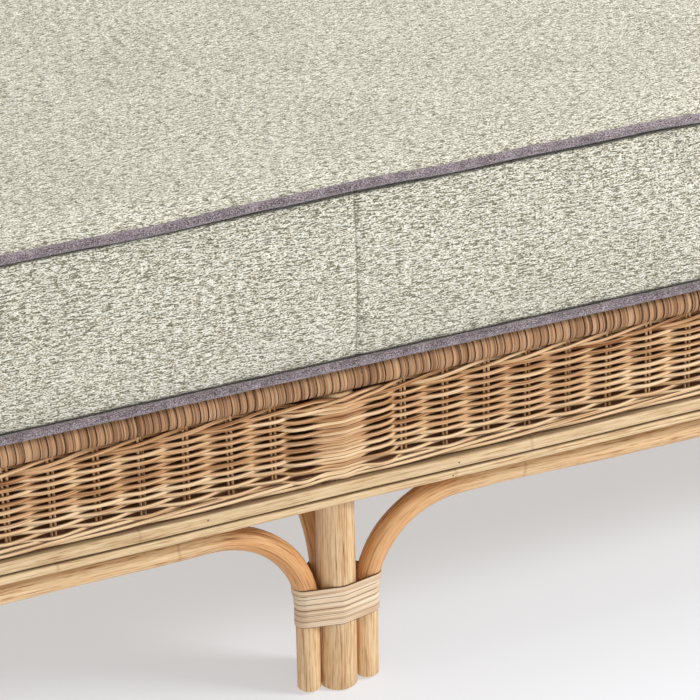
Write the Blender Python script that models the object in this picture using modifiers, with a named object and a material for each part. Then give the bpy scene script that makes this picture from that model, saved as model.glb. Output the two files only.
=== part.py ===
"""Rattan daybed: a pole frame with a woven apron and two raised ends, and a loose piped mattress.

Metres, +Z up. The origin is on the floor under the middle of the bed. X runs along its length and the
front is at -Y. Poles that meet are butted with a small gap, and cane bindings hold each leg's bundle.
"""

import math

import bmesh
import bpy
from mathutils import Matrix, Vector

GAP = 0.0003  # between pieces that touch

# Legs stand at x = 0 and +-LEG_X, on the lines y = +-LEG_Y.
LEG_X = 0.936
LEG_Y = 0.406
POST_R = 0.016  # centre poles of the legs, and the end hoops
BENT_R = 0.010  # thin poles: the arched braces and the bottom rails
BUNDLE = POST_R + BENT_R + GAP  # from a leg's centre pole to a thin pole beside it

# The band between the facing strips and the wrapped top rail carries the weaving.
STRIP_T = 0.0077
STRIP_FACE = 0.024  # from the legs' line out to the strips' faces
LOWER_STRIP_Z = (0.1775, 0.1856)
UPPER_STRIP_Z = (0.1860, 0.1980)
RAIL_OUT = 0.009  # from the legs' line out to the top rails and the weaving
RAIL_R = 0.012
WRAP_R = 0.0133  # the top rails with their cane wrapping
RAIL_Z = 0.286
BOTTOM_RAIL_Z = 0.1878
BOTTOM_RAIL_OUT = 0.006
WEAVE_T = 0.003
WEAVE_AT_LEG = POST_R + 2 * GAP + WEAVE_T / 2  # the weave passes outside each leg
STAKE_FROM_LEG = 0.057  # the first stake on each side of a leg

# Arched braces.
ARCH_Z = 0.160
ARCH_BEND = 0.083
ARCH_STEPS = 8
ARCH_FOOT = 0.002  # the thin poles stop just short of the floor
BINDING_Z = (0.061, 0.104)
BINDING_T = 0.0012

# Raised ends.
HOOP_TOP = 0.710
HOOP_KINK_Z = 0.303
HOOP_LEAN = math.radians(12)
HOOP_KINK_BEND = 0.150
HOOP_CORNER = 0.140
PANEL_T = 0.004

# Deck under the mattress.
DECK_Z = 0.2990
SLATS = 9
SLAT_PITCH = 0.200
SLAT = (0.100, 0.800, 0.012)
LEDGER = (1.860, 0.020, 0.110)

# Mattress.
BED_X = 0.909
BED_Y = 0.4275
BED_Z = (0.2997, 0.4545)
BED_CORNER = 0.040
CLOTH_T = 0.003
PIPING_R = 0.0035
PIPING_OUT = 0.0040
BASE_PIPING_Z = 0.3032
TOP_PIPING_Z = 0.4522
LIFT_NAME = "mattress_lift"


def clear_scene():
    for obj in list(bpy.data.objects):
        bpy.data.objects.remove(obj, do_unlink=True)


def new_collection(name):
    collection = bpy.data.collections.new(name)
    bpy.context.scene.collection.children.link(collection)
    return collection


def principled(name, colour, roughness):
    material = bpy.data.materials.new(name)
    material.use_nodes = True
    shader = material.node_tree.nodes["Principled BSDF"]
    shader.inputs["Base Color"].default_value = (*colour, 1)
    shader.inputs["Roughness"].default_value = roughness
    shader.inputs["Metallic"].default_value = 0.0
    return material


POLE = ((0.72, 0.52, 0.31), 0.45)
STRIP = ((0.80, 0.62, 0.40), 0.45)
CANE = ((0.83, 0.68, 0.48), 0.5)
WEAVE = ((0.72, 0.53, 0.33), 0.6)
TIMBER = ((0.75, 0.62, 0.42), 0.6)
CLOTH = ((0.62, 0.62, 0.50), 0.9)
WELT = ((0.24, 0.22, 0.25), 0.9)
FOAM = ((0.90, 0.87, 0.75), 0.95)


def add(name, data, finish, parent, place=Matrix.Identity(4)):
    """Links a new object with a material of its own, placed in its parent's space."""
    obj = bpy.data.objects.new(name, data)
    COLLECTION.objects.link(obj)
    obj.data.materials.append(principled(name, *finish))
    obj.matrix_local = place
    obj.parent = parent
    return obj


def empty(name, location):
    obj = bpy.data.objects.new(name, None)
    obj.location = location
    COLLECTION.objects.link(obj)
    return obj


def pole(name, points, radius, finish, parent, closed=False, resolution=4):
    """A round pole along a list of points, with its object at the first of them."""
    start = Vector(points[0])
    curve = bpy.data.curves.new(name, "CURVE")
    curve.dimensions = "3D"
    curve.bevel_depth = radius
    curve.bevel_resolution = resolution
    curve.use_fill_caps = not closed
    spline = curve.splines.new("POLY")
    spline.points.add(len(points) - 1)
    for point, at in zip(spline.points, points):
        point.co = (*(Vector(at) - start), 1)
    spline.use_cyclic_u = closed
    return add(name, curve, finish, parent, Matrix.Translation(start))


def post(name, location, radius, height, finish, parent, turn=Matrix.Identity(4)):
    """A straight pole from its location, upwards before it is turned."""
    mesh = bpy.data.meshes.new(name)
    shape = bmesh.new()
    bmesh.ops.create_cone(
        shape, cap_ends=True, segments=24, radius1=radius, radius2=radius, depth=height,
        matrix=Matrix.Translation((0, 0, height / 2)),
    )
    shape.to_mesh(mesh)
    shape.free()
    mesh.shade_smooth()
    mesh.set_sharp_from_angle(angle=math.radians(40))
    return add(name, mesh, finish, parent, Matrix.Translation(location) @ turn)


def board(name, size, location, bevel, finish, parent):
    """A box centred on its location, with rounded edges."""
    mesh = bpy.data.meshes.new(name)
    shape = bmesh.new()
    bmesh.ops.create_cube(shape, size=1, matrix=Matrix.Diagonal((*size, 1)))
    shape.to_mesh(mesh)
    shape.free()
    obj = add(name, mesh, finish, parent, Matrix.Translation(location))
    rounding = obj.modifiers.new("rounded_edges", "BEVEL")
    rounding.width = bevel
    rounding.segments = 2
    return obj


def plate(name, outlines, thickness, place, finish, parent):
    """Flat outlines, the first around any holes, made a plate centred on its own XY plane."""
    curve = bpy.data.curves.new(name, "CURVE")
    curve.dimensions = "2D"
    curve.fill_mode = "BOTH"
    curve.extrude = thickness / 2
    for outline in outlines:
        spline = curve.splines.new("POLY")
        spline.points.add(len(outline) - 1)
        for point, (x, y) in zip(spline.points, outline):
            point.co = (x, y, 0, 1)
        spline.use_cyclic_u = True
    return add(name, curve, finish, parent, place)


def arc(centre, radius, start, end, steps):
    """Points on a circle from one angle to another, in degrees, both ends included."""
    angles = [math.radians(start + (end - start) * i / steps) for i in range(steps + 1)]
    return [(centre[0] + radius * math.cos(a), centre[1] + radius * math.sin(a)) for a in angles]


def rounded_rectangle(half_x, half_y, radius, steps=6):
    """A closed outline with round corners, counter-clockwise from the +X side."""
    corners = [(1, 1, 0), (-1, 1, 90), (-1, -1, 180), (1, -1, 270)]
    outline = []
    for side_x, side_y, start in corners:
        centre = (side_x * (half_x - radius), side_y * (half_y - radius))
        outline += arc(centre, radius, start, start + 90, steps)
    return outline


def belt_round(circles, clearance, points=36):
    """The outline of a belt pulled round several circles, each (x, y, radius)."""
    outline = []
    for i in range(points):
        angle = 2 * math.pi * i / points
        across, up = math.cos(angle), math.sin(angle)
        x, y, radius = max(circles, key=lambda c: c[0] * across + c[1] * up + c[2])
        outline.append((x + (radius + clearance) * across, y + (radius + clearance) * up))
    return outline


def half_arch():
    """The rising half of an arched brace, as (distance from the leg's centre pole, height) points."""
    bend = arc((BUNDLE + ARCH_BEND, ARCH_Z - ARCH_BEND), ARCH_BEND, 180, 90, ARCH_STEPS)
    return [(BUNDLE, ARCH_FOOT), *bend]


def arch_points(first_leg, last_leg):
    """An arched brace between two legs of one line, as (position along the line, height) points."""
    rising = [(first_leg + along, height) for along, height in half_arch()]
    falling = [(last_leg - along, height) for along, height in half_arch()]
    return rising + falling[::-1]


def make_braces(frame):
    for end, y in (("front", -LEG_Y), ("back", LEG_Y)):
        for side, legs in (("left", (-LEG_X, 0)), ("right", (0, LEG_X))):
            points = [(x, y, z) for x, z in arch_points(*legs)]
            pole(f"brace_{end}_{side}", points, BENT_R, POLE, frame)
    for name, x in (("left_end", -LEG_X), ("right_end", LEG_X), ("cross", 0)):
        points = [(x, y, z) for y, z in arch_points(-LEG_Y, LEG_Y)]
        pole(f"brace_{name}", points, BENT_R, POLE, frame)


def make_mid_legs(frame):
    height = RAIL_Z - WRAP_R - GAP
    for name, y in (("front", -LEG_Y), ("back", LEG_Y)):
        post(f"mid_leg_{name}", (0, y, 0), POST_R, height, POLE, frame)


def brace_section(height):
    """Where a brace's pole is at a height: its distance from the leg's centre pole, and its half width there."""
    points = half_arch()
    for (along, low), (further, high) in zip(points, points[1:]):
        if height <= high:
            slope = (further - along) / (high - low)
            return along + slope * (height - low), BENT_R * math.hypot(1, slope)
    raise ValueError(f"no brace at {height} m")


def band(name, levels, finish, parent, location):
    """A closed wall through levels of (height, outer outline, inner outline)."""
    shape = bmesh.new()
    rings = []
    for height, *outlines in levels:
        rings.append([[shape.verts.new((x, y, height)) for x, y in line] for line in outlines])
    count = len(rings[0][0])
    for i in range(count):
        j = (i + 1) % count
        for wall in (0, 1):
            for below, above in zip(rings, rings[1:]):
                shape.faces.new((below[wall][i], below[wall][j], above[wall][j], above[wall][i]))
        for outer, inner in (rings[0], rings[-1]):
            shape.faces.new((outer[i], outer[j], inner[j], inner[i]))
    bmesh.ops.recalc_face_normals(shape, faces=shape.faces)
    mesh = bpy.data.meshes.new(name)
    shape.to_mesh(mesh)
    shape.free()
    mesh.shade_smooth()
    mesh.set_sharp_from_angle(angle=math.radians(40))
    return add(name, mesh, finish, parent, Matrix.Translation(location))


def make_bindings(frame):
    """A band of cane round each leg's bundle, wider where the thin poles begin to bend away."""
    low, high = BINDING_Z
    heights = [low, *(z for _, z in half_arch() if low < z < high), high]
    for end, side_y in (("front", -1), ("back", 1)):
        for side, side_x in (("left", -1), ("mid", 0), ("right", 1)):
            neighbours = (-1, 1) if side == "mid" else (-side_x,)
            levels = []
            for height in heights:
                away, half_width = brace_section(height)
                circles = [(0, 0, POST_R), (0, -side_y * away, half_width)]
                circles += [(along * away, 0, half_width) for along in neighbours]
                outlines = belt_round(circles, 2 * GAP + BINDING_T), belt_round(circles, 2 * GAP)
                levels.append((height, *outlines))
            at = (side_x * LEG_X, side_y * LEG_Y, 0)
            band(f"leg_binding_{end}_{side}", levels, CANE, frame, at)


def make_rails(frame):
    """The top rails lie on the mid legs and butt on the hoops; two of them carry a wrapping sleeve."""
    along_x = Matrix.Rotation(math.pi / 2, 4, "Y")
    along_y = Matrix.Rotation(-math.pi / 2, 4, "X")
    half_x = LEG_X - POST_R - GAP
    half_y = LEG_Y - POST_R - GAP
    ring = [arc((0, 0), radius, 0, 345, 23) for radius in (WRAP_R, RAIL_R + GAP)]
    for name, y in (("front", -LEG_Y - RAIL_OUT), ("back", LEG_Y + RAIL_OUT)):
        post(f"top_rail_{name}", (-half_x, y, RAIL_Z), RAIL_R, 2 * half_x, POLE, frame, along_x)
        place = Matrix.Translation((0, y, RAIL_Z)) @ along_x
        plate(f"rail_wrap_{name}", ring, 2 * (half_x - GAP), place, CANE, frame)
    for name, x in (("left", -LEG_X - RAIL_OUT), ("right", LEG_X + RAIL_OUT)):
        post(f"top_rail_{name}", (x, -half_y, RAIL_Z), RAIL_R, 2 * half_y, POLE, frame, along_y)

    for name, y in (("front", -LEG_Y - BOTTOM_RAIL_OUT), ("back", LEG_Y + BOTTOM_RAIL_OUT)):
        for side, start in (("left", -half_x), ("right", POST_R + GAP)):
            length = half_x - POST_R - GAP
            at = (start, y, BOTTOM_RAIL_Z)
            post(f"bottom_rail_{name}_{side}", at, BENT_R, length, POLE, frame, along_x)
    for name, x in (("left", -LEG_X - BOTTOM_RAIL_OUT), ("right", LEG_X + BOTTOM_RAIL_OUT)):
        at = (x, -half_y, BOTTOM_RAIL_Z)
        post(f"bottom_rail_{name}", at, BENT_R, 2 * half_y, POLE, frame, along_y)


def make_facing_strips(frame):
    """Two flat strips on each side cover the bottom rail and pass outside the legs."""
    out = STRIP_FACE - STRIP_T / 2
    half_x = LEG_X + STRIP_FACE
    half_y = LEG_Y + STRIP_FACE - STRIP_T - GAP
    for level, (low, high) in (("lower", LOWER_STRIP_Z), ("upper", UPPER_STRIP_Z)):
        middle, width = (low + high) / 2, high - low
        for name, side in (("front", -1), ("back", 1)):
            size, at = (2 * half_x, STRIP_T, width), (0, side * (LEG_Y + out), middle)
            board(f"facing_{level}_{name}", size, at, 0.0022, STRIP, frame)
        for name, side in (("left", -1), ("right", 1)):
            size, at = (STRIP_T, 2 * half_y, width), (side * (LEG_X + out), 0, middle)
            board(f"facing_{level}_{name}", size, at, 0.0022, STRIP, frame)


def weave_path(leg_places):
    """The weave's line along one side, as (along, out) points: straight, and out round each leg.

    It starts and ends on the bisector of the two corner legs, where the next side's weave begins."""
    toward = math.degrees(math.atan2(RAIL_OUT, STAKE_FROM_LEG))
    reach = math.hypot(RAIL_OUT, STAKE_FROM_LEG)
    tangent = toward + math.degrees(math.acos(WEAVE_AT_LEG / reach))
    split = 45 + math.degrees(GAP / WEAVE_AT_LEG)
    first, *middle, last = leg_places
    path = arc((first, 0), WEAVE_AT_LEG, 180 - split, tangent, 4)
    path.append((first + STAKE_FROM_LEG, RAIL_OUT))
    for leg in middle:
        path.append((leg - STAKE_FROM_LEG, RAIL_OUT))
        path += arc((leg, 0), WEAVE_AT_LEG, 180 - tangent, tangent, 2)
        path.append((leg + STAKE_FROM_LEG, RAIL_OUT))
    path.append((last - STAKE_FROM_LEG, RAIL_OUT))
    path += arc((last, 0), WEAVE_AT_LEG, 180 - tangent, split, 4)
    return path


def thickened(path, thickness):
    """A closed outline on both sides of an open line."""
    sides = ([], [])
    for i, here in enumerate(path):
        before, after = Vector(path[max(i - 1, 0)]), Vector(path[min(i + 1, len(path) - 1)])
        along = (after - before).normalized()
        normal = Vector((-along.y, along.x)) * thickness / 2
        sides[0].append(tuple(Vector(here) - normal))
        sides[1].append(tuple(Vector(here) + normal))
    return sides[0] + sides[1][::-1]


def make_aprons(frame):
    """One woven band on each side of the frame, between the facing strips and the top rail."""
    low, high = UPPER_STRIP_Z[1] + GAP, RAIL_Z - WRAP_R - GAP
    long_side = thickened(weave_path((-LEG_X, 0, LEG_X)), WEAVE_T)
    short_side = thickened(weave_path((-LEG_Y, LEG_Y)), WEAVE_T)
    sides = (
        ("back", long_side, 0, LEG_Y),
        ("left", short_side, 90, LEG_X),
        ("front", long_side, 180, LEG_Y),
        ("right", short_side, 270, LEG_X),
    )
    for name, outline, turn, distance in sides:
        turned = Matrix.Rotation(math.radians(turn), 4, "Z")
        place = turned @ Matrix.Translation((0, distance, (low + high) / 2))
        plate(f"apron_weave_{name}", [outline], high - low, place, WEAVE, frame)


def hoop_points():
    """One end's hoop as points (outward, across, up): two legs, a lean outwards and a top bar."""
    tangent = HOOP_KINK_BEND * math.tan(HOOP_LEAN / 2)
    lean = math.degrees(HOOP_LEAN)
    side_bend = arc((HOOP_KINK_BEND, HOOP_KINK_Z - tangent), HOOP_KINK_BEND, 180, 180 - lean, 3)
    leg = [(outward, -LEG_Y, up) for outward, up in [(0, 0), *side_bend]]
    slope = (HOOP_TOP - POST_R - HOOP_KINK_Z) / math.cos(HOOP_LEAN)
    corner = arc((-LEG_Y + HOOP_CORNER, slope - HOOP_CORNER), HOOP_CORNER, 180, 90, 7)
    for across, along_slope in corner:
        outward = along_slope * math.sin(HOOP_LEAN)
        leg.append((outward, across, HOOP_KINK_Z + along_slope * math.cos(HOOP_LEAN)))
    return leg + [(outward, -across, up) for outward, across, up in leg[::-1]]


def make_ends(frame):
    """A bent hoop at each end is two legs and a raised top in one pole; a woven panel fills it."""
    slope = (HOOP_TOP - POST_R - HOOP_KINK_Z) / math.cos(HOOP_LEAN)
    inside = POST_R + GAP
    low, high = 0.004, slope - inside
    half = LEG_Y - inside
    radius = HOOP_CORNER - inside
    outline = [(-half, low), (half, low)]
    outline += arc((half - radius, high - radius), radius, 0, 90, 7)
    outline += arc((-half + radius, high - radius), radius, 90, 180, 7)
    for name, side in (("left", -1), ("right", 1)):
        points = [(side * (LEG_X + outward), across, up) for outward, across, up in hoop_points()]
        pole(f"end_hoop_{name}", points, POST_R, POLE, frame)
        upright = Matrix.Rotation(math.pi / 2, 4, "Z") @ Matrix.Rotation(math.pi / 2, 4, "X")
        leaning = Matrix.Rotation(side * HOOP_LEAN, 4, "Y")
        place = Matrix.Translation((side * LEG_X, 0, HOOP_KINK_Z)) @ leaning @ upright
        plate(f"end_panel_{name}", [outline], PANEL_T, place, WEAVE, frame)


def make_deck(frame):
    """Two ledgers behind the legs carry the slats that the mattress lies on."""
    slat_z = DECK_Z - SLAT[2] / 2
    ledger_z = DECK_Z - SLAT[2] - GAP - LEDGER[2] / 2
    ledger_y = LEG_Y - POST_R - 2 * GAP - LEDGER[1] / 2
    for name, side in (("front", -1), ("back", 1)):
        board(f"ledger_{name}", LEDGER, (0, side * ledger_y, ledger_z), 0.002, TIMBER, frame)
    for i in range(SLATS):
        x = (i - (SLATS - 1) / 2) * SLAT_PITCH
        board(f"slat_{i + 1}", SLAT, (x, 0, slat_z), 0.003, TIMBER, frame)


def make_mattress(lift):
    """A foam block in a sewn cover, with a welt round its top and base seams, on its own parent."""
    def layer(name, low, high, inset, finish):
        outline = rounded_rectangle(BED_X - inset, BED_Y - inset, BED_CORNER - inset)
        place = Matrix.Translation((0, 0, (low + high) / 2 - lift.location.z))
        plate(name, [outline], high - low, place, finish, lift)

    low, high = BED_Z
    seam = CLOTH_T + GAP
    layer("mattress_base", low, low + CLOTH_T, 0, CLOTH)
    layer("mattress_foam", low + seam, high - seam, seam, FOAM)
    layer("mattress_top", high - CLOTH_T, high, 0, CLOTH)

    outlines = [rounded_rectangle(BED_X - t, BED_Y - t, BED_CORNER - t) for t in (0, CLOTH_T)]
    place = Matrix.Translation((0, 0, (low + high) / 2 - lift.location.z))
    plate("mattress_boxing", outlines, high - low - 2 * seam, place, CLOTH, lift)

    welt = rounded_rectangle(BED_X + PIPING_OUT, BED_Y + PIPING_OUT, BED_CORNER + PIPING_OUT)
    for name, z in (("piping_base", BASE_PIPING_Z), ("piping_top", TOP_PIPING_Z)):
        points = [(x, y, z - lift.location.z) for x, y in welt]
        pole(name, points, PIPING_R, WELT, lift, closed=True, resolution=2)


clear_scene()
COLLECTION = new_collection("daybed")
daybed = empty("daybed_frame", (0, 0, 0))
mattress = empty(LIFT_NAME, (0, 0, BED_Z[0]))
make_mid_legs(daybed)
make_braces(daybed)
make_bindings(daybed)
make_rails(daybed)
make_facing_strips(daybed)
make_aprons(daybed)
make_ends(daybed)
make_deck(daybed)
make_mattress(mattress)
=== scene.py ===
# %% [markdown]
# # A rattan daybed
# This lesson dresses a plain model of a daybed: poles of rattan bent into arches, rails wrapped with
# split cane, an apron woven on thin stakes, and a mattress in a chenille cover with a piped edge.
# The plain model gives every size and place, and each part below is built on it in metres.

# %% Load the plain model and keep its size
import math

import bpy
import numpy as np
from mathutils import Matrix, Vector


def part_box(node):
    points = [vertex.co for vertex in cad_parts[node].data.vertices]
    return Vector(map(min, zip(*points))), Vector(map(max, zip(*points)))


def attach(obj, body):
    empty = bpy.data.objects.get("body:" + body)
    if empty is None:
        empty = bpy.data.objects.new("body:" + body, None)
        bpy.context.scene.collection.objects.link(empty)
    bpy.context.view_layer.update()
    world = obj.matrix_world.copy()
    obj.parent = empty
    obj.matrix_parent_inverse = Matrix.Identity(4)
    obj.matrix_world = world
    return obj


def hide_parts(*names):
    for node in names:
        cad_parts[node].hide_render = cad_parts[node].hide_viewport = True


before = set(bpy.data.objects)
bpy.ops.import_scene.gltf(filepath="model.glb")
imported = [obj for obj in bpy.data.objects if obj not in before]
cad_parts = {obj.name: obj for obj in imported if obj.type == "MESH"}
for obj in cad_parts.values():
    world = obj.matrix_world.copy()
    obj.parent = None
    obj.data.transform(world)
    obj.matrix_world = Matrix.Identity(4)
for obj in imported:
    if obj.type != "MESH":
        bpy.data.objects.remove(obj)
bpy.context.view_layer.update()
scene = bpy.context.scene
for old in ("Cube", "Light", "Camera"):
    if old in bpy.data.objects:
        bpy.data.objects.remove(bpy.data.objects[old])

# %% [markdown]
# ## Camera, floor and light
# A long lens from the left and above shows the front middle of the bed, so the poles stay almost
# parallel. The floor is a plain pale sweep. A soft key lamp stands to the right of the front, one
# hangs overhead, and a weak one low in front lightens the weave. The world light fills the shade.

# %% Camera
AZIMUTH = math.radians(-24.696)
ELEVATION = math.radians(26.174)
ROLL = math.radians(-1.020)
DISTANCE = 2.8682
LENS = 188.4
LOOK_AT = Vector((0.00478, -0.430, 0.31395))

forward = Vector((
    -math.sin(AZIMUTH) * math.cos(ELEVATION),
    math.cos(AZIMUTH) * math.cos(ELEVATION),
    -math.sin(ELEVATION),
))
level = Vector((math.cos(AZIMUTH), math.sin(AZIMUTH), 0))
upright = level.cross(forward)
right = level * math.cos(ROLL) + upright * math.sin(ROLL)
up = upright * math.cos(ROLL) - level * math.sin(ROLL)
turn = Matrix((right, up, -forward)).transposed().to_4x4()

camera = bpy.data.objects.new("camera", bpy.data.cameras.new("camera"))
scene.collection.objects.link(camera)
camera.data.lens = LENS
camera.data.sensor_width = 36
camera.data.clip_start = 0.05
camera.matrix_world = Matrix.Translation(LOOK_AT - forward * DISTANCE) @ turn
scene.camera = camera
print("camera at", [round(x, 3) for x in camera.matrix_world.translation])

# %% Lamps and world
def lamp(name, place, target, size, power, colour=(1, 1, 1)):
    """A square soft lamp that faces its target."""
    light = bpy.data.lights.new(name, "AREA")
    light.energy = power
    light.size = size
    light.color = colour
    made = bpy.data.objects.new(name, light)
    made.location = place
    made.rotation_euler = (Vector(target) - Vector(place)).to_track_quat("-Z", "Y").to_euler()
    scene.collection.objects.link(made)
    return made


MIDDLE = (0, -0.3, 0.3)
lamp("key", (2.6, -2.2, 2.2), MIDDLE, 1.0, 86, (1.0, 0.985, 0.96))
lamp("front", (-0.8, -3.2, 0.9), MIDDLE, 1.6, 16)
lamp("overhead", (0.3, 0.2, 3.0), MIDDLE, 2.0, 44)
world = bpy.data.worlds.new("studio")
world.use_nodes = True
world.node_tree.nodes["Background"].inputs["Color"].default_value = (1, 1, 1, 1)
world.node_tree.nodes["Background"].inputs["Strength"].default_value = 0.38
scene.world = world
scene.view_settings.view_transform = "Standard"

# %% [markdown]
# ## Nodes written as Python
# Materials and Geometry Nodes are both graphs of nodes. One small class wraps an output socket, so
# that `1 - mask * 0.5` adds its Math nodes by itself, and one method adds any other node: its
# settings are set first, then the values or links of its sockets.

# %% A wire and a graph
class Wire:
    """An output socket. An operator on it adds a Math node."""

    def __init__(self, graph, socket):
        self.graph = graph
        self.socket = socket

    def maths(self, operation, *values):
        return self.graph.maths(operation, self, *values)


def wire_operator(operation, swapped):
    """A Python operator that adds a Math node, with its operands swapped when the wire stands second."""
    if swapped:
        return lambda wire, other: wire.graph.maths(operation, other, wire)
    return lambda wire, other: wire.maths(operation, other)


OPERATORS = {"add": "ADD", "sub": "SUBTRACT", "mul": "MULTIPLY", "truediv": "DIVIDE", "pow": "POWER"}
for word, operation in OPERATORS.items():
    setattr(Wire, f"__{word}__", wire_operator(operation, False))
    setattr(Wire, f"__r{word}__", wire_operator(operation, True))


class Graph:
    """A node tree that is filled from Python."""

    def __init__(self, tree):
        self.tree = tree

    def node(self, kind, settings=None, sockets=None, output=0):
        """Adds a node: settings first, then socket values or links. Returns one of its outputs."""
        made = self.tree.nodes.new(kind)
        for key, value in (settings or {}).items():
            if key == "stops":
                set_stops(made.color_ramp, value)
            else:
                setattr(made, key, value)
        for key, value in (sockets or {}).items():
            if isinstance(value, Wire):
                self.tree.links.new(value.socket, made.inputs[key])
            else:
                made.inputs[key].default_value = value
        return Wire(self, made.outputs[output])

    def maths(self, operation, *values):
        return self.node("ShaderNodeMath", {"operation": operation}, dict(enumerate(values)))

    def scaled(self, vector, factors):
        return self.node("ShaderNodeVectorMath", {"operation": "MULTIPLY"}, {0: vector, 1: factors})

    def noise(self, vector, factors=(1, 1, 1), detail=2.0, roughness=0.5, output="Fac"):
        """Noise on a vector that is scaled first, so that long thin fibres come from one node."""
        vector = self.scaled(vector, factors)
        sockets = {"Vector": vector, "Scale": 1.0, "Detail": detail, "Roughness": roughness}
        return self.node("ShaderNodeTexNoise", None, sockets, output)

    def stretch(self, value, low, high, to_low=0.0, to_high=1.0):
        """Maps low..high to to_low..to_high and clips outside."""
        names = ("Value", "From Min", "From Max", "To Min", "To Max")
        sockets = dict(zip(names, (value, low, high, to_low, to_high)))
        return self.node("ShaderNodeMapRange", {"clamp": True}, sockets)


def set_stops(ramp, stops):
    """Gives a colour ramp its (position, colour) stops."""
    while len(ramp.elements) > 1:
        ramp.elements.remove(ramp.elements[-1])
    for i, (place, colour) in enumerate(stops):
        stop = ramp.elements[0] if i == 0 else ramp.elements.new(place)
        stop.position = place
        stop.color = (*colour, 1)


# %% [markdown]
# ## Finishes
# Colours are given as a painter would read them from a chart, 0 to 255, and turned into the linear
# values that light works in. A finish is a graph that ends in one Principled shader.

# %% A finish
def tint(red, green, blue):
    """A chart colour as linear values."""
    def linear(c):
        c /= 255
        return c / 12.92 if c <= 0.04045 else ((c + 0.055) / 1.055) ** 2.4
    return linear(red), linear(green), linear(blue)


class Finish(Graph):
    """A material with one Principled shader."""

    def __init__(self, name, **constants):
        self.material = bpy.data.materials.new(name)
        self.material.use_nodes = True
        super().__init__(self.material.node_tree)
        self.shader = self.tree.nodes["Principled BSDF"]
        for socket, value in constants.items():
            self.shader.inputs[socket.replace("_", " ")].default_value = value

    def attribute(self, name, output="Vector"):
        return self.node("ShaderNodeAttribute", {"attribute_name": name}, None, output)

    def places(self):
        return self.node("ShaderNodeTexCoord", None, None, "Object")

    def blend(self, first, second, share, way="MIX"):
        """Mixes two colours."""
        sockets = {
            0: share,
            6: first if isinstance(first, Wire) else (*first, 1),
            7: second if isinstance(second, Wire) else (*second, 1),
        }
        return self.node("ShaderNodeMix", {"data_type": "RGBA", "blend_type": way}, sockets, 2)

    def edge_shaded(self, colour, dark, begin, end, amount):
        """Darkens a ribbon's edges: painted shade for the dark gaps between turns, strands and strips, with
        the darker cut edge of split cane.
        """
        beside = self.attribute("across", "Fac").maths("ABSOLUTE")
        return self.blend(colour, dark, self.stretch(beside, begin, end, 0.0, amount))

    def ramp(self, value, *stops):
        return self.node("ShaderNodeValToRGB", {"stops": stops}, {"Fac": value})

    def dress(self, colour, roughness, height=None, depth=0.001, strength=1.0):
        """Links the colour and the roughness, and turns a height into a bump."""
        self.tree.links.new(colour.socket, self.shader.inputs["Base Color"])
        if isinstance(roughness, Wire):
            self.tree.links.new(roughness.socket, self.shader.inputs["Roughness"])
        else:
            self.shader.inputs["Roughness"].default_value = roughness
        if height is not None:
            sockets = {"Height": height, "Distance": depth, "Strength": strength}
            bump = self.node("ShaderNodeBump", None, sockets)
            self.tree.links.new(bump.socket, self.shader.inputs["Normal"])
        return self.material


# %% Floor
FLOOR_HALF = 30.0
FLOOR_DROP = 0.0005
floor_mesh = bpy.data.meshes.new("floor")
floor_corners = [(x * FLOOR_HALF, y * FLOOR_HALF, 0) for x, y in ((-1, -1), (1, -1), (1, 1), (-1, 1))]
floor_mesh.from_pydata(floor_corners, [], [(0, 1, 2, 3)])
floor = bpy.data.objects.new("floor", floor_mesh)
floor.location.z = -FLOOR_DROP
scene.collection.objects.link(floor)
floor_finish = Finish("studio_floor")
soft_patches = floor_finish.noise(floor_finish.places(), (1.5, 1.5, 1.5))
floor_colour = floor_finish.blend(tint(178, 181, 186), tint(182, 185, 190), soft_patches)
floor_finish.shader.inputs["Emission Color"].default_value = (0.97, 0.975, 1.0, 1)
floor_finish.shader.inputs["Emission Strength"].default_value = 0.47
floor_mesh.materials.append(floor_finish.dress(floor_colour, 0.8))

# %% [markdown]
# ### Rattan poles
# A rattan pole is a climbing palm's stem: honey coloured, with fine fibres along it, a joint ring
# every hand or two, and a scorched, redder tone where it was heated and bent. Each piece carries an
# attribute called grain that says where a point is on the straight pole, in metres, so the fibres
# follow every bend. Others say how much the pole is bent there and which piece it belongs to.

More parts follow.
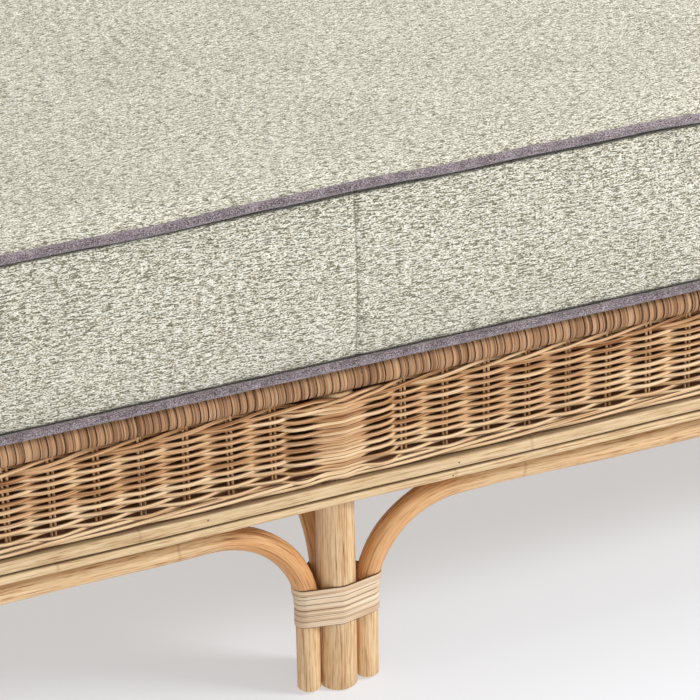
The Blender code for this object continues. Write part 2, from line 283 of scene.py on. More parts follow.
# %% Pole finish
def pole_finish(name, lightest, pale, middle, dark, scorch, shine=0.42, edge=0.0):
    """Rattan with its bark on, or peeled, depending on the colours."""
    finish = Finish(name, Specular_IOR_Level=0.35)
    grain = finish.attribute("grain")
    tone = finish.attribute("tone", "Fac")
    bend = finish.attribute("bend", "Fac")
    fibres = finish.noise(grain, (26, 760, 760), 2.0, 0.6)
    threads = finish.noise(grain, (90, 1000, 1000), 1.0, 0.5)
    clouds = finish.noise(grain, (7, 70, 70), 3.0, 0.6)
    streaks = finish.noise(grain, (4, 240, 240), 2.0, 0.5)
    mixed = fibres * 0.9 + streaks * 0.45 + threads * 0.45 - 0.40
    colour = finish.ramp(mixed, (0.25, dark), (0.42, middle), (0.60, pale), (0.80, lightest))
    colour = finish.blend(colour, middle, finish.stretch(clouds, 0.45, 0.75, 0.0, 0.5))
    scorched = finish.stretch(bend * 0.6 + clouds * 0.9, 0.62, 1.15, 0.0, 0.7)
    colour = finish.blend(colour, scorch, scorched, "MULTIPLY")
    lines = finish.stretch(finish.noise(grain, (12, 800, 800), 1.0, 0.4), 0.60, 0.70)
    colour = finish.blend(colour, dark, lines * 0.55)
    along = finish.node("ShaderNodeSeparateXYZ", None, {0: grain})
    sway = finish.noise(grain, (3, 70, 70))
    ring = ((along + sway * 0.006 + tone * 0.3) * 2.9).maths("FRACT")
    ring = finish.stretch((ring - 0.5).maths("ABSOLUTE"), 0.0, 0.006, 1.0, 0.0)
    colour = finish.blend(colour, dark, ring * 0.35)
    # Painted shade along a strip's top and bottom edges, for the dark line between the strips and under the
    # weave; the poles take none.
    colour = finish.edge_shaded(colour, tint(78, 46, 22), 0.84, 0.97, edge)
    level = finish.stretch(tone, 0.0, 1.0, 0.90, 1.08)
    colour = finish.node("ShaderNodeVectorMath", {"operation": "SCALE"}, {0: colour, "Scale": level})
    rough = finish.stretch(fibres, 0.3, 0.7, shine + 0.12, shine)
    height = fibres * 0.6 + threads * 0.4 - ring * 0.8 - lines * 0.4
    return finish.dress(colour, rough, height, 0.0004)


rattan = pole_finish(
    "pole_rattan", tint(240, 214, 174), tint(233, 199, 154), tint(217, 176, 128), tint(152, 102, 58),
    tint(236, 192, 142)
)
# The strips' last number, 0.6, paints shade along their edges.
strip_rattan = pole_finish(
    "strip_rattan", tint(240, 220, 186), tint(228, 201, 160), tint(214, 183, 140), tint(172, 132, 88),
    tint(240, 214, 170), 0.38, 0.6
)

# %% [markdown]
# ### Cane and weaving reed
# Split cane is the shiny bark sliced into a ribbon, and it stays pale; the cane on the rails is
# given darker colours as painted shade from the mattress above it. The weaving reed is the core
# of the stem drawn round, duller and more uneven, and each strand has its own shade.

# %% Cane and reed finishes
def strand_finish(name, pale, middle, dark, fibre, shine, spread, streak, edge, edge_shade_from=0.78):
    """A strand's colour comes from its tone. Thin fibres run along it, and its edges carry painted shade
    for the gaps between strands and turns.
    """
    finish = Finish(name, Specular_IOR_Level=0.3)
    grain = finish.attribute("grain")
    tone = finish.attribute("tone", "Fac")
    fibres = finish.noise(grain, (fibre, 900, 900), 2.0, 0.6)
    patches = finish.noise(grain, (16, 200, 200), 3.0, 0.6)
    mixed = (fibres - 0.5) * streak + (patches - 0.5) * 0.6 + (tone - 0.5) * spread + 0.5
    colour = finish.ramp(mixed, (0.15, dark), (0.48, middle), (0.85, pale))
    lines = finish.stretch(finish.noise(grain, (fibre * 0.7, 700, 700), 1.0, 0.4), 0.60, 0.70)
    colour = finish.blend(colour, dark, lines * 0.6)
    # Painted shade at the edges: dark lines between turns and round each strand; on split cane it is also
    # the darker cut edge.
    colour = finish.edge_shaded(colour, tint(58, 30, 14), edge_shade_from, 0.94, edge)
    rough = finish.stretch(fibres, 0.3, 0.7, shine + 0.12, shine)
    return finish.dress(colour, rough, fibres + patches * 0.5, 0.00025)


# The last two numbers set the painted shade at the edges: dark lines between the binding's turns and round
# each strand of reed.
binding_cane = strand_finish(
    "binding_cane", tint(248, 230, 206), tint(232, 207, 176), tint(180, 140, 102),
    10, 0.38, 0.2, 0.8, 1.0, 0.72
)
# The rail wrap is the same split cane as the binding, given darker colours as painted shade, since it lies
# under the mattress's edge. Its edges carry painted shade for the gaps between turns.
wrap_cane = strand_finish(
    "wrap_cane", tint(208, 166, 126), tint(166, 124, 89), tint(104, 66, 36),
    9, 0.45, 0.16, 1.8, 0.95
)
reed = strand_finish(
    "weaving_reed", tint(240, 208, 166), tint(204, 156, 108), tint(130, 78, 38),
    14, 0.5, 0.45, 1.4, 0.85, 0.62
)

# %% [markdown]
# ### Chenille, welt and timber
# The cover is a chenille: fluffy weft yarns of sage and cream lie side by side along the bed, some
# thicker than others, with a few loose light dashes. The finish reads the cover's own UV map, which
# is laid out in metres, so the yarns run round the boxing as they do across the top. The welt is a
# cord in a fuzzy violet-grey cloth, and the hidden slats are plain sawn timber.

# %% Chenille
BOXING_LEVEL = 7.0
BOXING_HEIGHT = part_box("mattress_top")[1].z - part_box("mattress_base")[0].z


def chenille_finish():
    finish = Finish("chenille", Sheen_Weight=0.25, Sheen_Roughness=0.6, Specular_IOR_Level=0.15)
    cloth = finish.node("ShaderNodeUVMap", {"uv_map": "cloth"})
    drift = finish.noise(cloth, (14, 14, 1), 2.0, 0.5, "Color")
    sockets = {0: drift, 1: (0.004, 0.004, 0), 2: cloth}
    moved = finish.node("ShaderNodeVectorMath", {"operation": "MULTIPLY_ADD"}, sockets)
    yarns = finish.noise(moved, (170, 880, 1), 2.0, 0.6)
    fuzz = finish.noise(moved, (520, 1150, 1), 1.0, 0.5)
    slubs = finish.noise(moved, (42, 240, 1), 3.0, 0.6)
    dashes = finish.noise(moved, (120, 640, 1), 1.0, 0.4)
    patches = finish.noise(cloth, (9, 16, 1), 3.0, 0.6)
    mixed = (yarns - 0.5) * 2.2 + (fuzz - 0.5) * 2.2 + (slubs - 0.5) * 0.5 + (patches - 0.5) * 0.2 + 0.47
    colour = finish.ramp(
        mixed,
        (0.10, tint(112, 104, 78)), (0.32, tint(178, 172, 148)), (0.50, tint(226, 221, 200)),
        (0.68, tint(250, 247, 230)), (0.90, tint(255, 255, 246)),
    )
    dark_dash = finish.stretch(dashes, 0.41, 0.31, 0.0, 0.85)
    colour = finish.blend(colour, tint(122, 117, 88), dark_dash)
    light_dash = finish.stretch(dashes, 0.66, 0.74, 0.0, 0.5)
    colour = finish.blend(colour, tint(255, 252, 240), light_dash)
    stitch = finish.stretch(finish.attribute("seam", "Fac"), 0.45, 1.0, 0.0, 0.7)
    colour = finish.blend(colour, tint(120, 116, 96), stitch)
    level = finish.node("ShaderNodeSeparateXYZ", None, {0: cloth}, "Y")
    rise = level - BOXING_LEVEL
    # Painted shadow: a dark band on the boxing just above the base piping and just below the top piping,
    # where the piping shades the cloth.
    below = finish.stretch(rise, 0.0076, 0.0096, 0.9, 0.0)
    above = finish.stretch(rise, BOXING_HEIGHT - 0.0112, BOXING_HEIGHT - 0.0092, 0.0, 0.9)
    painted_seam_shadow = below.maths("MAXIMUM", above)
    on_boxing = (rise - BOXING_HEIGHT / 2).maths("ABSOLUTE").maths("LESS_THAN", BOXING_HEIGHT)
    colour = finish.blend(colour, tint(40, 34, 28), painted_seam_shadow * on_boxing)
    height = yarns * 0.7 + slubs * 0.3 + fuzz * 0.6 - dark_dash * 0.5
    return finish.dress(colour, 0.95, height, 0.0025, 1.0)


chenille = chenille_finish()

# %% Welt and timber
def welt_finish():
    finish = Finish("welt", Sheen_Weight=0.5, Sheen_Roughness=0.5, Specular_IOR_Level=0.1)
    grain = finish.attribute("grain")
    ribs = finish.noise(grain, (700, 900, 900), 2.0, 0.6)
    fuzz = finish.noise(finish.places(), (1500, 1500, 1500), 1.0, 0.6)
    clouds = finish.noise(finish.places(), (60, 60, 60), 2.0, 0.5)
    mixed = (ribs - 0.5) * 0.9 + (fuzz - 0.5) * 1.1 + (clouds - 0.5) * 0.4 + 0.5
    shades = (0.24, tint(56, 46, 51)), (0.50, tint(126, 111, 117)), (0.76, tint(200, 186, 192))
    colour = finish.ramp(mixed, *shades)
    return finish.dress(colour, 0.95, ribs * 0.5 + fuzz * 0.5, 0.0025)


def timber_finish(name, dark, middle, pale):
    finish = Finish(name, Specular_IOR_Level=0.3)
    places = finish.places()
    figure = finish.noise(places, (90, 2.5, 90), 3.0, 0.6)
    pores = finish.noise(places, (1400, 25, 1400), 2.0, 0.6)
    colour = finish.ramp(figure * 0.7 + pores * 0.3, (0.32, dark), (0.5, middle), (0.7, pale))
    return finish.dress(colour, finish.stretch(pores, 0.3, 0.7, 0.75, 0.6), pores, 0.0003)


welt = welt_finish()
timber = timber_finish("slat_timber", tint(186, 150, 104), tint(214, 184, 138), tint(228, 203, 160))
# A dark brown timber for the ledgers behind the weave: painted shade, for the dark seen through the weave's
# gaps.
stained_timber = timber_finish("stained_timber", tint(92, 54, 28), tint(122, 76, 44), tint(146, 96, 60))
print("finishes:", [material.name for material in bpy.data.materials][-9:])

# %% [markdown]
# ## Sweeping a section along a path
# A pole, a strip and a strand are one outline drawn along one line, so one Geometry Nodes tree makes
# them all: the paths come in as a mesh of edges, become curves, and an outline is swept along them.
# The attributes on the path's points (how thick, how bent, which shade) travel to the surface.

# %% A Geometry Nodes tree with named inputs
SOCKET_KINDS = {float: "NodeSocketFloat", int: "NodeSocketInt"}


class Tree(Graph):
    """A Geometry Nodes tree. Its inputs are found by name and set by identifier."""

    def __init__(self, name, **inputs):
        super().__init__(bpy.data.node_groups.new(name, "GeometryNodeTree"))
        face = self.tree.interface
        face.new_socket("Geometry", in_out="OUTPUT", socket_type="NodeSocketGeometry")
        face.new_socket("Geometry", in_out="INPUT", socket_type="NodeSocketGeometry")
        self.identifiers = {}
        for label, value in inputs.items():
            made = face.new_socket(label, in_out="INPUT", socket_type=SOCKET_KINDS[type(value)])
            made.default_value = value
            self.identifiers[label] = made.identifier
        made = face.new_socket("Material", in_out="INPUT", socket_type="NodeSocketMaterial")
        self.identifiers["Material"] = made.identifier
        self.entry = self.tree.nodes.new("NodeGroupInput")

    def given(self, label):
        return Wire(self, self.entry.outputs[label])

    def named(self, name, kind="FLOAT"):
        return self.node("GeometryNodeInputNamedAttribute", {"data_type": kind}, {"Name": name})

    def keep(self, geometry, name, value, kind="FLOAT"):
        settings = {"data_type": kind, "domain": "POINT"}
        sockets = {"Geometry": geometry, "Name": name, "Value": value}
        return self.node("GeometryNodeStoreNamedAttribute", settings, sockets)

    def parts(self, vector):
        split = self.node("ShaderNodeSeparateXYZ", None, {0: vector})
        return [Wire(self, out) for out in split.socket.node.outputs]

    def joined(self, x, y, z):
        return self.node("ShaderNodeCombineXYZ", None, {0: x, 1: y, 2: z})

    def close(self, geometry):
        """The end of every tree: smooth, real faces with their material."""
        smooth = self.node("GeometryNodeSetShadeSmooth", None, {"Geometry": geometry})
        solid = self.node("GeometryNodeRealizeInstances", None, {"Geometry": smooth})
        sockets = {"Geometry": solid, "Material": self.given("Material")}
        dressed = self.node("GeometryNodeSetMaterial", None, sockets)
        end = self.tree.nodes.new("NodeGroupOutput")
        self.tree.links.new(dressed.socket, end.inputs[0])


def grow(tree, name, source, **inputs):
    """Runs a tree on a source mesh and keeps the result as a plain mesh."""
    maker = bpy.data.objects.new(name + "_maker", source)
    scene.collection.objects.link(maker)
    modifier = maker.modifiers.new("grow", "NODES")
    modifier.node_group = tree.tree
    for label, value in inputs.items():
        modifier[tree.identifiers[label]] = value
    graph = bpy.context.evaluated_depsgraph_get()
    mesh = bpy.data.meshes.new_from_object(
        maker.evaluated_get(graph), preserve_all_data_layers=True, depsgraph=graph
    )
    maker.modifiers.clear()
    bpy.data.objects.remove(maker)
    mesh.name = name
    piece = bpy.data.objects.new(name, mesh)
    scene.collection.objects.link(piece)
    triangles = sum(len(face.vertices) - 2 for face in mesh.polygons)
    print(f"{name}: {triangles} triangles")
    return piece


# %% The sweep
def sweep(tree, line, facing):
    """Sweeps the tree's outline, Thickness by Width, along the curves of a line."""
    sockets = {"Resolution": tree.given("Sides"), "Radius": 1.0}
    ring = tree.node("GeometryNodeCurvePrimitiveCircle", {"mode": "RADIUS"}, sockets)
    here = tree.node("GeometryNodeInputPosition")
    across, along, _ = tree.parts(here)

    def squared(part, size):
        """A corner of 1 leaves an ellipse, and less makes it squarer."""
        return part.maths("SIGN") * part.maths("ABSOLUTE") ** tree.given("Corner") * size * 0.5

    thick, wide = squared(across, tree.given("Thickness")), squared(along, tree.given("Width"))
    place = tree.joined(thick, wide, 0.0)
    ring = tree.node("GeometryNodeSetPosition", None, {"Geometry": ring, "Position": place})
    ring = tree.keep(ring, "round", here, "FLOAT_VECTOR")
    if facing:
        outward = tree.named("facing", "FLOAT_VECTOR")
        line = tree.node("GeometryNodeSetCurveNormal", {"mode": "FREE"}, {"Curve": line, "Normal": outward})
    sockets = {"Curve": line, "Profile Curve": ring, "Scale": tree.named("size"), "Fill Caps": True}
    body = tree.node("GeometryNodeCurveToMesh", None, sockets)
    side, front, _ = tree.parts(tree.named("round", "FLOAT_VECTOR"))
    body = tree.keep(body, "across", front / (tree.given("Width") * 0.5))
    return tree.keep(body, "grain", tree.joined(tree.named("along"), side, front), "FLOAT_VECTOR")


def sweep_tree(name, facing):
    tree = Tree(name, Width=0.02, Thickness=0.02, Corner=1.0, Sides=24)
    line = tree.node("GeometryNodeMeshToCurve", None, {"Mesh": tree.given("Geometry")})
    tree.close(sweep(tree, line, facing))
    return tree


round_sweep = sweep_tree("round_sweep", False)
flat_sweep = sweep_tree("flat_sweep", True)


def grow_round(name, node, paths, thick, sides, material):
    """Poles, cords or stakes of one thickness along several paths."""
    return grow(round_sweep, name, path_mesh(node, paths), Width=thick, Thickness=thick, Sides=sides,
                Material=material)

# %% Paths
LAYERS = dict.fromkeys(("size", "tone", "bend", "along", "phase", "swing"), "FLOAT")
LAYERS["facing"] = "FLOAT_VECTOR"


def lengths(points):
    """How far along a line of points each of them is."""
    return np.concatenate(([0], np.cumsum(np.linalg.norm(np.diff(points, axis=0), axis=1))))


def path_mesh(name, paths):
    """Several paths as one mesh of edges. A path is a dictionary of arrays, points first."""
    points, edges, layers = [], [], {key: [] for key in LAYERS}
    for path in paths:
        count, first = len(path["points"]), len(points)
        points += [tuple(p) for p in path["points"]]
        edges += [(first + i, first + i + 1) for i in range(count - 1)]
        if path.get("closed"):
            edges.append((first + count - 1, first))
        values = {"size": 1.0, "tone": 0.5, "bend": 0.0, "phase": 0.0, "swing": 0.0, "facing": (0, 0, 1)}
        values["along"] = path.get("start", 0.0) + lengths(path["points"])
        values.update({key: path[key] for key in LAYERS if key in path})
        for key, kind in LAYERS.items():
            shape = (count,) if kind == "FLOAT" else (count, 3)
            layers[key].append(np.broadcast_to(np.asarray(values[key], float), shape))
    mesh = bpy.data.meshes.new(name + "_path")
    mesh.from_pydata(points, edges, [])
    for key, kind in LAYERS.items():
        layer = mesh.attributes.new(key, kind, "POINT")
        flat = np.concatenate(layers[key]).astype(np.float32).ravel()
        layer.data.foreach_set("value" if kind == "FLOAT" else "vector", flat)
    return mesh


def unit(vector):
    return vector / np.linalg.norm(vector)


def bent_path(corners, radii=(), step=0.022, arc_step=math.radians(5)):
    """Points along a pole with a round bend at each inner corner, and how bent it is at each."""
    corners = [np.array(corner, float) for corner in corners]
    points, bend = [corners[0]], [0.0]
    for i in range(1, len(corners)):
        stop, arc = corners[i], []
        if i < len(corners) - 1:
            before, after = unit(corners[i] - corners[i - 1]), unit(corners[i + 1] - corners[i])
            angle = math.acos(float(np.clip(before @ after, -1, 1)))
            inward = unit(after - before * (before @ after))
            radius = radii[i - 1]
            stop = corners[i] - before * radius * math.tan(angle / 2)
            count = max(3, math.ceil(angle / arc_step))
            for turn in np.linspace(0, angle, count + 1):
                arc.append(stop + inward * radius * (1 - math.cos(turn)) + before * radius * math.sin(turn))
        first = points[-1]
        count = max(1, math.ceil(np.linalg.norm(stop - first) / step))
        for k in range(1, count + 1):
            points.append(first + (stop - first) * k / count)
            bend.append(0.0)
        points += arc[1:]
        bend += [1.0] * (len(arc) - 1)
    bend = np.array(bend)
    for _ in range(3):
        bend = np.convolve(np.pad(bend, 1, mode="edge"), (0.25, 0.5, 0.25), "valid")
    return np.array(points), bend


def ease(value, low, high):
    """A smooth step from 0 at low to 1 at high."""
    share = np.clip((np.asarray(value, float) - low) / (high - low), 0, 1)
    return share * share * (3 - 2 * share)


def wander(points, amount, still, draw):
    """Moves points gently off their line, and not within a still length of either end."""
    length = lengths(points)
    loose = ease(length, still, still + 0.12) * ease(length[-1] - length, still, still + 0.12)
    moved = points.copy()
    for axis in range(3):
        for wave, share in ((0.55, 0.6), (0.23, 0.3), (0.11, 0.12)):
            moved[:, axis] += amount * share * loose * np.sin(2 * math.pi * (length / wave + draw.random()))
    return moved


def sawn(points, bend, edge=0.0012, end_size=0.90):
    """Adds a small chamfer at both ends of a pole."""
    first = points[:1] + unit(points[1] - points[0]) * edge
    last = points[-1:] - unit(points[-1] - points[-2]) * edge
    points = np.vstack([points[:1], first, points[1:-1], last, points[-1:]])
    bend = np.concatenate([bend[:1], bend, bend[-1:]])
    size = np.ones(len(points))
    size[0] = size[-1] = end_size
    return points, bend, size


print("trees:", [tree.name for tree in bpy.data.node_groups])

# %% [markdown]
# ## The frame's poles
# The legs, arches, rails and end hoops are poles steamed and bent by hand, so none is quite straight.
# Each takes its centre line and radius from the plain model's box, wanders by a millimetre or two
# between its fixings, and ends in a sawn face with its edge taken off.

# %% Poles
BRACE_BEND = 0.083
HOOP_LEAN = math.radians(12)
HOOP_BENDS = (0.150, 0.140, 0.140, 0.150)
POLE_UNEVEN = 0.012
draw = np.random.default_rng(7)
frame_pieces = []


def shade_of_its_own():
    """A random shade for one pole or strand, and where on the cut pole it starts."""
    return {"tone": draw.random(), "start": draw.random() * 9}


def finish_piece(piece, slot, *nodes, body="frame"):
    """Attaches a finished piece to the body it rides on and hides the plain parts it stands for. The slot,
    what it is made of, is not used.
    """
    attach(piece, body)
    if nodes:
        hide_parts(*nodes)
    frame_pieces.append(piece.name)
    return piece


def make_pole(node, corners, radii, radius, amount, still=0.02, sides=24):
    points, bend = bent_path(corners, radii)
    points = wander(points, amount, still, draw)
    points, bend, size = sawn(points, bend)
    size = size * (1 + POLE_UNEVEN * np.sin(np.arange(len(points)) * 0.9 + draw.random() * 6))
    path = {"points": points, "bend": bend, "size": size, **shade_of_its_own()}
    piece = grow_round(node + "_pole", node, [path], 2 * radius, sides, rattan)
    return finish_piece(piece, "pole_rattan", node)


def box_ends(node, axis):
    """The middles of a box's two end faces, and the box's size."""
    low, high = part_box(node)
    middle = (low + high) / 2
    ends = [list(middle), list(middle)]
    ends[0][axis], ends[1][axis] = low[axis], high[axis]
    return ends, high - low


def straight_pole(node, axis, amount, sides=24):
    """A straight pole along one side of its node's box."""
    ends, size = box_ends(node, axis)
    return make_pole(node, ends, (), min(size) / 2, amount, sides=sides)


for node in ("mid_leg_front", "mid_leg_back"):
    straight_pole(node, 2, 0.0006, sides=32)
for node in ("top_rail_front", "top_rail_back", "bottom_rail_front_left", "bottom_rail_front_right",
             "bottom_rail_back_left", "bottom_rail_back_right"):
    straight_pole(node, 0, 0.0004)
for node in ("top_rail_left", "top_rail_right", "bottom_rail_left", "bottom_rail_right"):
    straight_pole(node, 1, 0.0004)


def brace_corners(node, axis):
    """The corners of an arch that stands on two feet."""
    low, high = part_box(node)
    radius = min(high - low) / 2
    first, last, crown = low[axis] + radius, high[axis] - radius, high.z - radius
    corners = []
    for along, height in ((first, low.z), (first, crown), (last, crown), (last, low.z)):
        point = list((low + high) / 2)
        point[axis] = along
        point[2] = height
        corners.append(point)
    return corners, radius


for node in ("brace_front_left", "brace_front_right", "brace_back_left", "brace_back_right"):
    corners, radius = brace_corners(node, 0)
    make_pole(node, corners, (BRACE_BEND, BRACE_BEND), radius, 0.0013, still=0.15)
for node in ("brace_left_end", "brace_right_end", "brace_cross"):
    corners, radius = brace_corners(node, 1)
    make_pole(node, corners, (BRACE_BEND, BRACE_BEND), radius, 0.0020, still=0.13)


def hoop_corners(node, side):
    low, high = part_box(node)
    post_low, post_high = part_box("mid_leg_front")
    radius = (post_high.x - post_low.x) / 2
    foot = low.x + radius if side > 0 else high.x - radius
    top = high.x - radius if side > 0 else low.x + radius
    across, crown = high.y - radius, high.z - radius
    kink = crown - abs(top - foot) / math.tan(HOOP_LEAN)
    half = [(foot, -across, 0.0), (foot, -across, kink), (top, -across, crown)]
    return half + [(x, -y, z) for x, y, z in half[::-1]], radius


for node, side in (("end_hoop_left", -1), ("end_hoop_right", 1)):
    corners, post_radius = hoop_corners(node, side)
    make_pole(node, corners, HOOP_BENDS, post_radius, 0.0008, sides=32)
print("poles:", len(frame_pieces))

# %% [markdown]
# ## Facing strips and their nails
# Two peeled strips, a wide one over a narrow one, hide the bottom rail and the foot of the weaving.
# Their faces are slightly rounded and their edges carry painted shade, so a dark line stays between
# them. Small nail heads hold them on: a second tree places one flattened bead at each point.

# %% Strips
GROOVE = 0.0007
STRIP_UNEVEN = 0.012


def make_strip(node, axis, outward):
    ends, extent = box_ends(node, axis)
    points, bend = bent_path(ends, (), 0.03)
    points[:, 2] += 0.00025 * np.sin(points[:, axis] * 21 + draw.random() * 6)
    size = 1 + STRIP_UNEVEN * (np.sin(points[:, axis] * 33 + draw.random() * 6) - 1)
    path = {"points": points, "bend": bend, "size": size, "facing": outward, **shade_of_its_own()}
    piece = grow(flat_sweep, node + "_strip", path_mesh(node, [path]), Width=extent.z - GROOVE,
                 Thickness=extent[1 - axis], Corner=0.5, Sides=20, Material=strip_rattan)
    return finish_piece(piece, "strip_rattan", node)


SIDES = (("front", 0, (0, -1, 0)), ("back", 0, (0, 1, 0)), ("left", 1, (-1, 0, 0)), ("right", 1, (1, 0, 0)))
for level in ("upper", "lower"):
    for name, axis, outward in SIDES:
        make_strip(f"facing_{level}_{name}", axis, outward)

# %% Nails
nail_tree = Tree("nails", Radius=0.0008, Dome=0.4)
sockets = {"Segments": 10, "Rings": 6, "Radius": nail_tree.given("Radius")}
bead = nail_tree.node("GeometryNodeMeshUVSphere", None, sockets)
flat = nail_tree.joined(1.0, 1.0, nail_tree.given("Dome"))
bead = nail_tree.node("GeometryNodeTransform", None, {"Geometry": bead, "Scale": flat})
sockets = {"Vector": nail_tree.named("facing", "FLOAT_VECTOR")}
spin = nail_tree.node("FunctionNodeAlignRotationToVector", {"axis": "Z"}, sockets)
sockets = {"Points": nail_tree.given("Geometry"), "Instance": bead, "Rotation": spin}
nail_tree.close(nail_tree.node("GeometryNodeInstanceOnPoints", None, sockets))

iron = Finish("nail_iron", Metallic=0.85, Specular_IOR_Level=0.4)
rust = iron.noise(iron.places(), (900, 900, 900), 2.0, 0.6)
iron.dress(iron.ramp(rust, (0.35, tint(96, 74, 58)), (0.65, tint(150, 132, 116))), 0.45, rust, 0.0001)


def nail_row(node, axis, outward, spacing):
    low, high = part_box(node)
    run, face = high[axis] - low[axis], 1 - axis
    count = int(run / spacing)
    places = []
    for k in range(count):
        point = list((low + high) / 2)
        point[axis] = low[axis] + (k + 0.5 + (draw.random() - 0.5) * 0.5) * run / count
        point[face] = high[face] if outward[face] > 0 else low[face]
        point[2] += (draw.random() - 0.5) * 0.002
        places.append(point)
    return places


nail_points, nail_facing = [], []
for level, spacing in (("upper", 0.31), ("lower", 0.37)):
    for name, axis, outward in SIDES:
        row = nail_row(f"facing_{level}_{name}", axis, outward, spacing)
        nail_points += row
        nail_facing += [outward] * len(row)
nail_mesh = bpy.data.meshes.new("nail_points")
nail_mesh.from_pydata(nail_points, [], [])
layer = nail_mesh.attributes.new("facing", "FLOAT_VECTOR", "POINT")
layer.data.foreach_set("vector", np.array(nail_facing, np.float32).ravel())
finish_piece(grow(nail_tree, "strip_nails", nail_mesh, Material=iron.material), "strip_rattan")

# %% [markdown]
# ## Wrapped rails and bound legs
# The top rails are wrapped in one long ribbon of split cane, turn against turn, and each leg's poles
# are held together by seven turns pulled tight. Both are a path that winds round, with the ribbon's
# face turned outwards. Hand work shows in the uneven gaps.

# %% Rail wraps
TURN_STEPS = 20
WRAP_PITCH = 0.0066
WRAP_WIDTH = 0.0065
CANE_THICK = 0.0012
SHARP = math.radians(50)


def grow_ribbon(name, node, path, width, thickness, corner, sides, material):
    """A flat ribbon along a path, with crisp edges."""
    piece = grow(flat_sweep, name, path_mesh(node, [path]), Width=width, Thickness=thickness,
                 Corner=corner, Sides=sides, Material=material)
    piece.data.set_sharp_from_angle(angle=SHARP)
    return piece


def winding(low, high, axis, radius, pitch):
    """One ribbon's path round a straight rail, with uneven turns."""
    length = high[axis] - low[axis] - pitch
    turns = int(length / pitch)
    widths = 1 + 0.16 * (draw.random(turns + 2) - 0.6)
    shifts = (draw.random(turns + 2) - 0.5) * 0.0011
    tones = draw.random(turns + 2)
    t = np.arange(turns * TURN_STEPS + 1) / TURN_STEPS

    def between(values):
        return np.interp(t, np.arange(turns + 2), values)

    outward = np.zeros((len(t), 3))
    outward[:, 1 - axis] = np.cos(2 * math.pi * t)
    outward[:, 2] = np.sin(2 * math.pi * t)
    points = np.tile(np.array((low + high) / 2), (len(t), 1))
    points[:, axis] = low[axis] + pitch / 2 + t * length / turns + between(shifts)
    points += outward * radius
    return {"points": points, "facing": outward, "size": between(widths), "tone": between(tones),
            "start": draw.random()}


for name, axis, _ in SIDES:
    rail = f"top_rail_{name}"
    low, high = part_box(rail)
    radius = min(high - low) / 2 + CANE_THICK / 2 - 0.0001
    path = winding(low, high, axis, radius, WRAP_PITCH)
    piece = grow_ribbon(f"rail_wrap_cane_{name}", rail, path, WRAP_WIDTH, CANE_THICK, 0.16, 8, wrap_cane)
    nodes = [f"rail_wrap_{name}"] if axis == 0 else []
    finish_piece(piece, "split_cane", *nodes)

# %% Leg bindings
BINDING_TURNS = 7
BINDING_STEPS = 48
BINDING_THICK = 0.0015
BINDING_FILL = 0.94


def reach(height, spring):
    """How far a brace's line has bent away from its leg at a height."""
    rise = max(0.0, height - spring)
    return BRACE_BEND - math.sqrt(max(0.0, BRACE_BEND ** 2 - rise ** 2))


def bound(leg, neighbours, low, high, spring, poles):
    """A ribbon pulled round a leg's poles, like a belt round pulleys."""
    post, thin = poles
    pitch = (high - low) / BINDING_TURNS
    t = np.arange(BINDING_TURNS * BINDING_STEPS + 1) / BINDING_STEPS
    start = math.pi / 2 if leg[1] < 0 else -math.pi / 2
    points, outward = [], []
    for turn in t:
        angle = start + 2 * math.pi * turn
        climb = min(turn, BINDING_TURNS - 0.999) * (BINDING_TURNS - 1) / BINDING_TURNS
        height = low + pitch * (0.5 + climb)
        away = post + thin + reach(height, spring)
        circles = [(0, 0, post)] + [(dx * away, dy * away, thin) for dx, dy in neighbours]
        across, up = math.cos(angle), math.sin(angle)
        x, y, radius = max(circles, key=lambda c: c[0] * across + c[1] * up + c[2])
        radius += CANE_THICK / 2
        points.append((leg[0] + x + radius * across, leg[1] + y + radius * up, height))
        outward.append((across, up, 0))
    shade = np.interp(t, np.arange(BINDING_TURNS + 2), draw.random(BINDING_TURNS + 2))
    points = np.array(points)
    points[:, 2] += 0.00035 * np.sin(t * 2 * math.pi + draw.random() * 6)
    return {"points": points, "facing": np.array(outward), "size": 1 + 0.03 * np.sin(t * 5.1),
            "tone": shade, "start": draw.random()}


brace_low, brace_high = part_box("brace_front_left")
thin_radius = (brace_high.y - brace_low.y) / 2
spring = brace_high.z - thin_radius - BRACE_BEND
leg_y = -sum(corner.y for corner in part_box("mid_leg_front")) / 2
leg_x = -(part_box("end_hoop_left")[1].x - post_radius)
for end, side_y in (("front", -1), ("back", 1)):
    for side, side_x in (("left", -1), ("mid", 0), ("right", 1)):
        node = f"leg_binding_{end}_{side}"
        low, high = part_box(node)
        flanks = [(-1, 0), (1, 0)] if side == "mid" else [(-side_x, 0)]
        path = bound((side_x * leg_x, side_y * leg_y), flanks + [(0, -side_y)], low.z, high.z,
                     spring, (post_radius, thin_radius))
        width = (high.z - low.z) / BINDING_TURNS * BINDING_FILL
        piece = grow_ribbon(node + "_cane", node, path, width, BINDING_THICK, 0.3, 10, binding_cane)
        finish_piece(piece, "split_cane", node)
print("legs at x", round(leg_x, 4), "y", round(leg_y, 4))

# %% [markdown]
# ## The woven apron
# The apron is randed: each strand of reed passes in front of one pair of stakes and behind the next,
# and the strand above does the opposite. The path along one side goes straight past the stakes and
# out round each leg. A tree repeats that path upwards and bends each copy to and fro, with the
# cosine of its place between stakes. The edges at the top and foot are three strands twisted
# together, which is the same rule with three stakes to a turn and a lift up and down.

# %% A tree that weaves rows
woven_rows = Tree(
    "woven_rows", Rows=18, Row_Height=0.0031, Stakes_Per_Wave=2.0, Swing=0.00295, Lift=0.0, Width=0.0029,
    Thickness=0.0029, Corner=1.0, Sides=8, Wobble=0.0003, Flare=0.0, Paler=0.0, Seed=1
)


